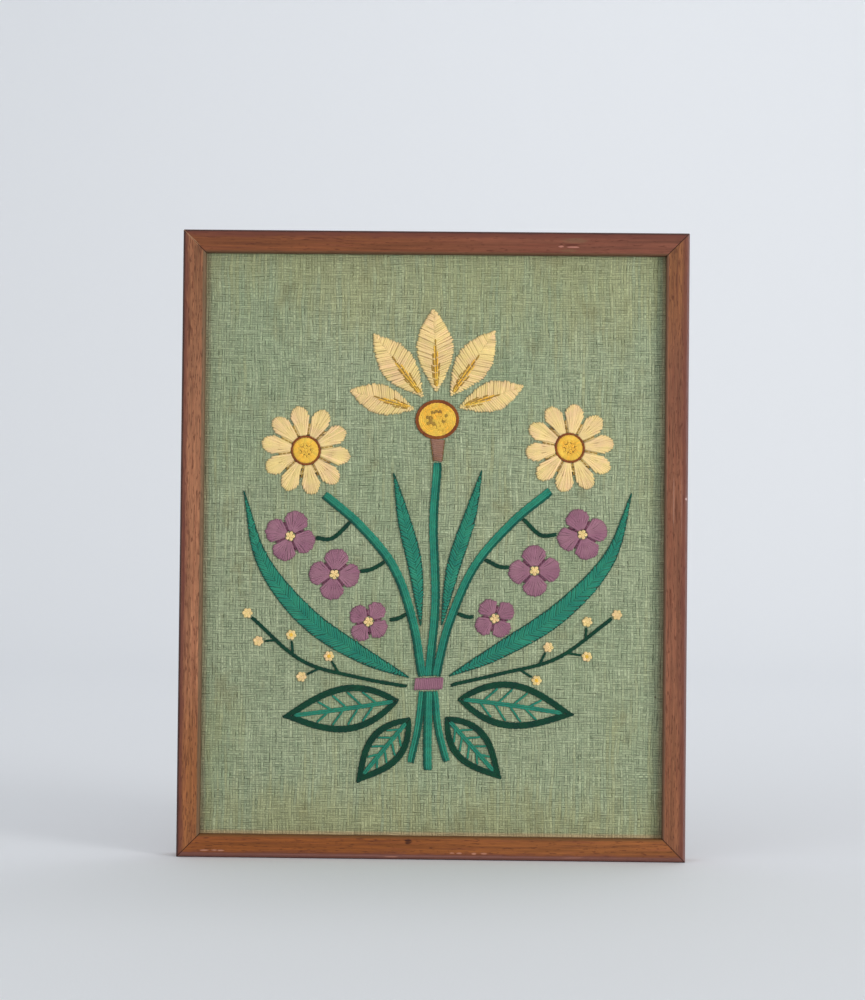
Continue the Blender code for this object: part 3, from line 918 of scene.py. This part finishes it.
def dress_linen():
    """One thin closed sheet in the place of the linen's solid."""
    size_x = LINEN_HIGH.x - LINEN_LOW.x
    size_z = LINEN_HIGH.z - LINEN_LOW.z
    count_x = round(size_x / MM / LINEN_STEP)
    count_z = round(size_z / MM / LINEN_STEP)
    across = np.linspace(0, size_x, count_x + 1)
    grid_x, grid_z = np.meshgrid(across, np.linspace(0, size_z, count_z + 1))
    relief = linen_relief(grid_x / MM, grid_z / MM) * MM
    points = []
    for face_y, lift in ((LINEN_LOW.y, -1), (LINEN_HIGH.y, 0)):
        y = face_y + lift * relief
        points.append(np.stack([LINEN_LOW.x + grid_x, y, LINEN_LOW.z + grid_z], -1).reshape(-1, 3))
    index = np.arange((count_x + 1) * (count_z + 1)).reshape(count_z + 1, count_x + 1)
    quads = np.stack([index[:-1, :-1], index[:-1, 1:], index[1:, 1:], index[1:, :-1]], -1)
    quads = quads.reshape(-1, 4)
    rim = np.concatenate([index[0, :-1], index[:-1, -1], index[-1, :0:-1], index[:0:-1, 0]])
    rim_ahead = np.roll(rim, -1)
    back = index.size
    walls = np.stack([rim_ahead, rim, rim + back, rim_ahead + back], -1)
    faces = np.concatenate([quads, quads[:, ::-1] + back, walls])
    mesh = bpy.data.meshes.new("linen_sheet")
    mesh.from_pydata(np.concatenate(points).tolist(), [], faces.tolist())
    mesh.materials.append(linen_material())
    mesh.shade_smooth()
    obj = add_object("linen_sheet", mesh)
    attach(obj, BODY)
    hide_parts("linen_ground")


# Wood

RIM_DEPTH = 18
WALL = 6.5
LIP_DEPTH = 5
OUTER_ROUND, INNER_ROUND = 2, 0.8
SEAM_HALF, SEAM_SUNK = 0.15, 0.22

# Each outer edge of the frame: the axis across it, the way in, and where it starts
EDGES = {
    "left": (0, 1, -FRAME_LOW.x / MM),
    "right": (0, -1, FRAME_HIGH.x / MM),
    "bottom": (1, 1, -FRAME_LOW.z / MM),
    "top": (1, -1, FRAME_HIGH.z / MM),
}

FILLER = (190, 146, 110)
PALE, DARK = (196, 142, 118), (84, 40, 22)
# Each member's colour where it starts, how that drifts along it, the widths and colours of its rims and
# lip, and its marks: where along it, how far in, half the length and width, how strong, and the colour.
# The starting colours are the teak's own tone with painted light and shade: the left member lighter, the
# top darker.
# The rims are partly wear and partly painted light: darker painted shade on the left, top and bottom, a
# paler painted highlight on the right. The lip colour is painted shade along the sight edge.
MEMBERS = {
    "left": dict(
        seed=1.7,
        contrast=2.1,
        body=(141, 88, 50),
        drifts=((40, 120, (156, 105, 75)), (230, 290, (141, 94, 64))),
        rims_wear_and_painted_light=((1.5, (50, 32, 32)),),
        lip_shade=(1.9, (98, 84, 62)),
        marks=((150, 2.2, 40, 0.7, 0.8, (98, 52, 44)), (262, 3.6, 9, 0.5, 0.7, DARK)),
    ),
    "right": dict(
        seed=5.3,
        contrast=1.6,
        body=(126, 79, 53),
        drifts=((40, 110, (126, 79, 57)), (230, 290, (128, 81, 49))),
        rims_wear_and_painted_light=((1.5, (116, 90, 88)),),
        lip_shade=(1.3, (108, 80, 62)),
        marks=(
            (131, 8.2, 5.5, 0.35, 0.8, DARK),
            (205, 5.0, 3.0, 0.3, 0.8, DARK),
            (180, 7.2, 13, 0.4, 0.5, (164, 122, 104)),
            (175, 6.0, 9, 0.5, 0.8, (96, 54, 36)),
            (177, 3.2, 17, 0.35, 0.45, (156, 110, 92)),
            (180.4, 1.0, 0.7, 0.6, 0.7, (200, 172, 166)),
        ),
    ),
    "top": dict(
        seed=9.1,
        contrast=0.7,
        body=(121, 69, 39),
        drifts=((-60, 80, (112, 65, 49)),),
        rims_wear_and_painted_light=((1.5, (58, 38, 38)),),
        lip_shade=(1.3, (92, 66, 44)),
        marks=(
            (69, 4.4, 7, 1.5, 0.5, (116, 88, 64)),
            (66, 9.4, 5, 1.0, 0.4, (116, 88, 60)),
            (67.5, 6.5, 4.2, 0.6, 0.85, (90, 42, 30)),
            (62.3, 7.3, 1.5, 0.5, 0.7, (190, 130, 114)),
            (68.3, 7.6, 3.2, 0.45, 0.7, (190, 130, 114)),
            (-60, 4.0, 7, 0.4, 0.7, DARK),
        ),
    ),
    "bottom": dict(
        seed=13.9,
        contrast=0.9,
        body=(135, 76, 32),
        drifts=((-60, 90, (136, 81, 40)),),
        rims_wear_and_painted_light=((3.0, (112, 74, 66)), (0.9, (72, 40, 44))),
        lip_shade=(1.3, (104, 70, 36)),
        marks=(
            (-11, 9.1, 2.1, 1.4, 0.95, (54, 21, 10)),
            (-112.3, 3.7, 2.3, 0.5, 0.6, PALE),
            (-107.4, 3.7, 1.5, 0.5, 0.5, PALE),
            (-104, 3.6, 1.8, 0.45, 0.6, PALE),
            (10.8, 3.6, 1.2, 0.45, 0.5, PALE),
            (14.4, 3.6, 1.5, 0.5, 0.6, PALE),
            (21.7, 3.4, 1.3, 0.5, 0.6, PALE),
            (26.6, 3.5, 1.8, 0.5, 0.5, PALE),
            (-19.5, 1.4, 4.0, 0.3, 0.5, PALE),
            (70, 2.0, 6, 0.5, 0.6, (150, 104, 88)),
            # A pale line along the whole outer rounding: a painted highlight
            (0, 1.9, 122, 0.3, 0.45, (146, 100, 92)),
        ),
    ),
}


def depth_in(edge, x, z):
    """How far in a point is from an outer edge of the frame."""
    axis, way, start = EDGES[edge]
    return (x, z)[axis] * way + start


def wood_material(name, seed, contrast, body, drifts, rims_wear_and_painted_light, lip_shade, marks):
    """Oiled teak: streaks and pores along the member, a reddish outer rim that is partly wear and partly
    painted shade on the rounding, painted shade along the sight edge, and a few marks of its own.

    More contrast means stronger fine grain and more pores.
    """
    tree = Tree(f"teak_{name}")
    x, y, z = tree.place()
    upright = name in ("left", "right")
    along = z if upright else x
    across = depth_in(name, x, z)
    front = (y - FRAME_LOW.y / MM).smooth(5.0, 2.0)
    row = across + tree.noise((along * 0.01, seed)) * 3
    streak = tree.noise((along * 0.014, row * 0.5, y * 0.5), detail=5.0, roughness=0.68)
    fine = tree.noise((along * 0.11, row * 3.1, y * 3.1), detail=3.0, roughness=0.7)
    cloud = tree.noise((along * 0.02, across * 0.1, seed + 2.0))
    # The starting colour: the teak's own tone, with painted light and shade that differs from member to
    # member
    shade = body
    for first, last, colour in drifts:
        drift = (along + (streak - 0.5) * 80).smooth(first, last)
        shade = tree.mix(drift, shade, colour)
    red_streak = tree.noise((along * 0.03, row * 0.9, y * 0.9 + seed), detail=3.0, roughness=0.6)
    shade = tree.mix(red_streak.smooth(0.5, 0.66) * 0.4, shade, (112, 58, 42))
    shade = tree.brighter(shade, streak.smooth(0.3, 0.72) * 0.62 + 0.73)
    shade = tree.brighter(shade, (fine - 0.5) * (0.9 * contrast) + cloud * 0.3 + 0.85)
    pore_where = (along * 0.24 + seed * 3.1, row * 1.7, y * 1.7)
    least = 0.63 - 0.03 * contrast
    pore = tree.noise(pore_where).smooth(least, least + 0.08)
    shade = tree.mix(pore * 0.65, shade, (84, 42, 28))
    worn = tree.noise((along * 0.12, across * 0.6, y * 0.6 + seed), detail=4.0, roughness=0.6)
    # Reddish outer band: partly wear, partly painted shade on the outer rounding
    reddish = (across + (worn - 0.5) * 4.0).smooth(4.6, 1.8) * (front * 0.55 + 0.2)
    shade = tree.mix(reddish, shade, (104, 56, 46))
    # Each outer rim colour: partly wear, partly painted light, darker as painted shade or paler as a
    # painted highlight
    for rim_width, rim_colour in rims_wear_and_painted_light:
        edge = (across + (worn - 0.5) * 1.2).smooth(rim_width, rim_width - 0.8)
        shade = tree.mix(edge * front * 0.75, shade, rim_colour)
    # Painted shade along the sight edge, where the frame meets the cloth
    lip_width, lip_colour = lip_shade
    inner = (across + (worn - 0.5) * 0.8).smooth(FACE - lip_width, FACE - lip_width * 0.5)
    shade = tree.mix(inner * 0.75, shade, lip_colour)
    for end in ("bottom", "top") if upright else ("left", "right"):
        seam = (depth_in(end, x, z) - across).math("ABSOLUTE")
        open_line = (seam + (worn - 0.5) * 0.5).smooth(0.5, 0.15) * 0.6
        shade = tree.mix(open_line, shade, (62, 34, 24))
        if {name, end} == {"top", "left"}:
            stretch = across + (worn - 0.5) * 4
            filled = stretch.smooth(8.6, 7.4) * stretch.smooth(1.8, 2.6)
            filled = (seam + (worn - 0.5) * 0.9).smooth(0.7, 0.2) * filled
            shade = tree.mix(filled * 0.75, shade, FILLER)
    for centre, depth, half_length, half_width, share, colour in marks:
        run = (along - centre) / half_length
        side = (across - depth) / half_width
        reach = run * run + side * side + (fine - 0.5) * 3.0
        shade = tree.mix(reach.smooth(1.1, 0.3) * front * share, shade, colour)
    roughness = fine * 0.2 + pore * 0.15 + 0.45
    return tree.finish(shade, roughness, fine * 0.5 - pore + streak * 0.3, 0.08, 0.25)


def dress_frame():
    for name, settings in MEMBERS.items():
        finish_node(f"frame_{name}", wood_material(name, **settings))


def arc(centre, radius, first, last, steps):
    angles = np.radians(np.linspace(first, last, steps + 1))
    return [(centre[0] + radius * math.cos(a), centre[1] + radius * math.sin(a)) for a in angles]


def seam_material():
    """Dark glue and dirt in the mitres, with paler filler at the top left."""
    tree = Tree("mitre_glue")
    x, y, z = tree.place()
    crumb = tree.noise((x, y, z), scale=1.6, detail=3.0)
    at_top_left = (z - x).smooth(FRAME_HIGH.z / MM + 112, FRAME_HIGH.z / MM + 122)
    shade = tree.mix(at_top_left, (58, 32, 24), (176, 138, 104))
    shade = tree.brighter(shade, crumb * 0.6 + 0.7)
    return tree.finish(shade, 0.8, crumb, 0.1, 0.2)


def add_mitre_glue():
    """The glue line that fills each mitre, a hair below the wood's surface."""
    sunk = SEAM_SUNK
    section = arc((OUTER_ROUND, OUTER_ROUND), OUTER_ROUND - sunk, 180, 270, 6)
    section += arc((FACE - INNER_ROUND, INNER_ROUND), INNER_ROUND - sunk, 270, 360, 4)
    corners = ((FACE, LIP_DEPTH), (WALL, LIP_DEPTH), (WALL, RIM_DEPTH))
    section += [(a - sunk, d - sunk) for a, d in corners] + [(sunk, RIM_DEPTH - sunk)]
    count = len(section)
    points = []
    faces = []
    for corner_x, way_x in ((FRAME_LOW.x / MM, 1), (FRAME_HIGH.x / MM, -1)):
        for corner_z, way_z in ((FRAME_LOW.z / MM, 1), (FRAME_HIGH.z / MM, -1)):
            first = len(points)
            for side in (-1, 1):
                shift = side * SEAM_HALF / math.sqrt(2)
                for a, d in section:
                    x = corner_x + way_x * (a + shift)
                    z = corner_z + way_z * (a - shift)
                    points.append(Vector((x, FRAME_LOW.y / MM + d, z)) * MM)
            outward = way_x * way_z > 0
            ring = [first + i for i in range(count)]
            other = [first + count + i for i in range(count)]
            sides = [(ring[i], ring[i - 1], other[i - 1], other[i]) for i in range(count)]
            for face in [tuple(ring), tuple(reversed(other))] + sides:
                faces.append(face if outward else tuple(reversed(face)))
    mesh = bpy.data.meshes.new("mitre_glue")
    mesh.from_pydata(points, [], faces)
    mesh.materials.append(seam_material())
    obj = add_object("mitre_glue", mesh)
    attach(obj, BODY)


def finish_node(node, material):
    """Gives a CAD node this material in all its slots."""
    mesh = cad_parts[node].data
    if not mesh.materials:
        mesh.materials.append(material)
    for i in range(len(mesh.materials)):
        mesh.materials[i] = material


def board_material():
    """Brown hardboard: short fibres and pale flecks."""
    tree = Tree("hardboard_pressed")
    x, y, z = tree.place()
    fibre = tree.noise((x * 1.1, z * 0.8), detail=4.0, roughness=0.75)
    patch = tree.noise((x * 0.02, z * 0.02), detail=3.0)
    fleck = tree.noise((x * 2.6, z * 0.9, 4.0), detail=1.0).smooth(0.66, 0.74)
    shade = tree.mix(fibre.smooth(0.3, 0.7), (104, 72, 48), (142, 104, 72))
    shade = tree.mix(patch.smooth(0.4, 0.7) * 0.25, shade, (98, 68, 46))
    shade = tree.mix(fleck * 0.4, shade, (176, 142, 104))
    return tree.finish(shade, 0.75, fibre, 0.15, 0.25)


# Floor, light and camera

IMAGE_WIDTH = 865
FOCAL_PIXELS = 2206.5
SENSOR = 36
CAMERA_PLACE = Vector((0.0140, -1.1068, 0.1569))
CAMERA_PITCH = math.radians(1.138)
CAMERA_YAW = math.radians(0.762)
CAMERA_ROLL = math.radians(0.573)
# Metres: the floor's edges, and the round sweep into the backdrop
FLOOR_HALF_WIDTH, FLOOR_FRONT, BACKDROP_TOP = 5.0, -4.0, 4.0
SWEEP_START, SWEEP_RADIUS, SWEEP_STEPS = 1.6, 1.2, 16


def add_camera():
    camera = bpy.data.cameras.new("camera")
    camera.sensor_fit = "HORIZONTAL"
    camera.sensor_width = SENSOR
    camera.lens = FOCAL_PIXELS / IMAGE_WIDTH * SENSOR
    camera.clip_start = 0.01
    obj = add_object("camera", camera)
    level = Vector((-math.sin(CAMERA_YAW), math.cos(CAMERA_YAW), 0))
    ahead = level * math.cos(CAMERA_PITCH) + Vector((0, 0, math.sin(CAMERA_PITCH)))
    right = Vector((math.cos(CAMERA_YAW), math.sin(CAMERA_YAW), 0))
    up = right.cross(ahead)
    right, up = (
        math.cos(CAMERA_ROLL) * right + math.sin(CAMERA_ROLL) * up,
        math.cos(CAMERA_ROLL) * up - math.sin(CAMERA_ROLL) * right,
    )
    turn = Matrix((right, up, -ahead)).transposed().to_4x4()
    obj.matrix_world = Matrix.Translation(CAMERA_PLACE) @ turn
    scene.camera = obj


def add_light(name, place, aim, size, power, colour):
    """A soft square light at place that faces aim."""
    light = bpy.data.lights.new(name, "AREA")
    light.size = size
    light.energy = power
    light.color = colour
    obj = add_object(name, light)
    obj.location = place
    away = Vector(place) - Vector(aim)
    obj.rotation_euler = away.to_track_quat("Z", "Y").to_euler()


def add_floor():
    """A pale floor that sweeps up into a backdrop well behind the picture."""
    profile = [(FLOOR_FRONT, 0), (SWEEP_START, 0)]
    profile += arc((SWEEP_START, SWEEP_RADIUS), SWEEP_RADIUS, -90, 0, SWEEP_STEPS)[1:]
    profile.append((SWEEP_START + SWEEP_RADIUS, BACKDROP_TOP))
    points = [(x, y, z) for y, z in profile for x in (-FLOOR_HALF_WIDTH, FLOOR_HALF_WIDTH)]
    faces = [(2 * i, 2 * i + 1, 2 * i + 3, 2 * i + 2) for i in range(len(profile) - 1)]
    mesh = bpy.data.meshes.new("floor")
    mesh.from_pydata(points, [], faces)
    mesh.shade_smooth()
    tree = Tree("floor_paint")
    x, y, z = tree.place()
    grain = tree.noise((x, y, z), scale=0.8, detail=3.0)
    shade = tree.mix(grain * 0.3, (238, 241, 245), (232, 235, 240))
    mesh.materials.append(tree.finish(shade, 0.8, grain, 0.05, 0.2))
    add_object("floor", mesh)


def add_world():
    world = bpy.data.worlds.new("room")
    world.use_nodes = True
    background = world.node_tree.nodes["Background"]
    background.inputs["Color"].default_value = (0.975, 0.985, 1.0, 1)
    background.inputs["Strength"].default_value = 0.62
    scene.world = world
    scene.view_settings.view_transform = "Standard"


add_camera()
add_floor()
add_world()
picture = (0, 0, MIDDLE_Z)
add_light("key", (1.72, -1.44, 0.36), picture, 0.7, 28, (1.0, 0.985, 0.96))
add_light("fill", (-1.4, -1.6, 0.6), picture, 1.2, 5, (0.96, 0.98, 1.0))
add_light("backdrop", (0.7, 1.0, 1.9), (0.3, 2.4, 0.4), 1.4, 8.0, (1.0, 0.985, 0.97))

dress_frame()
add_mitre_glue()
finish_node("backing_board", board_material())
dress_linen()
dress_posy()
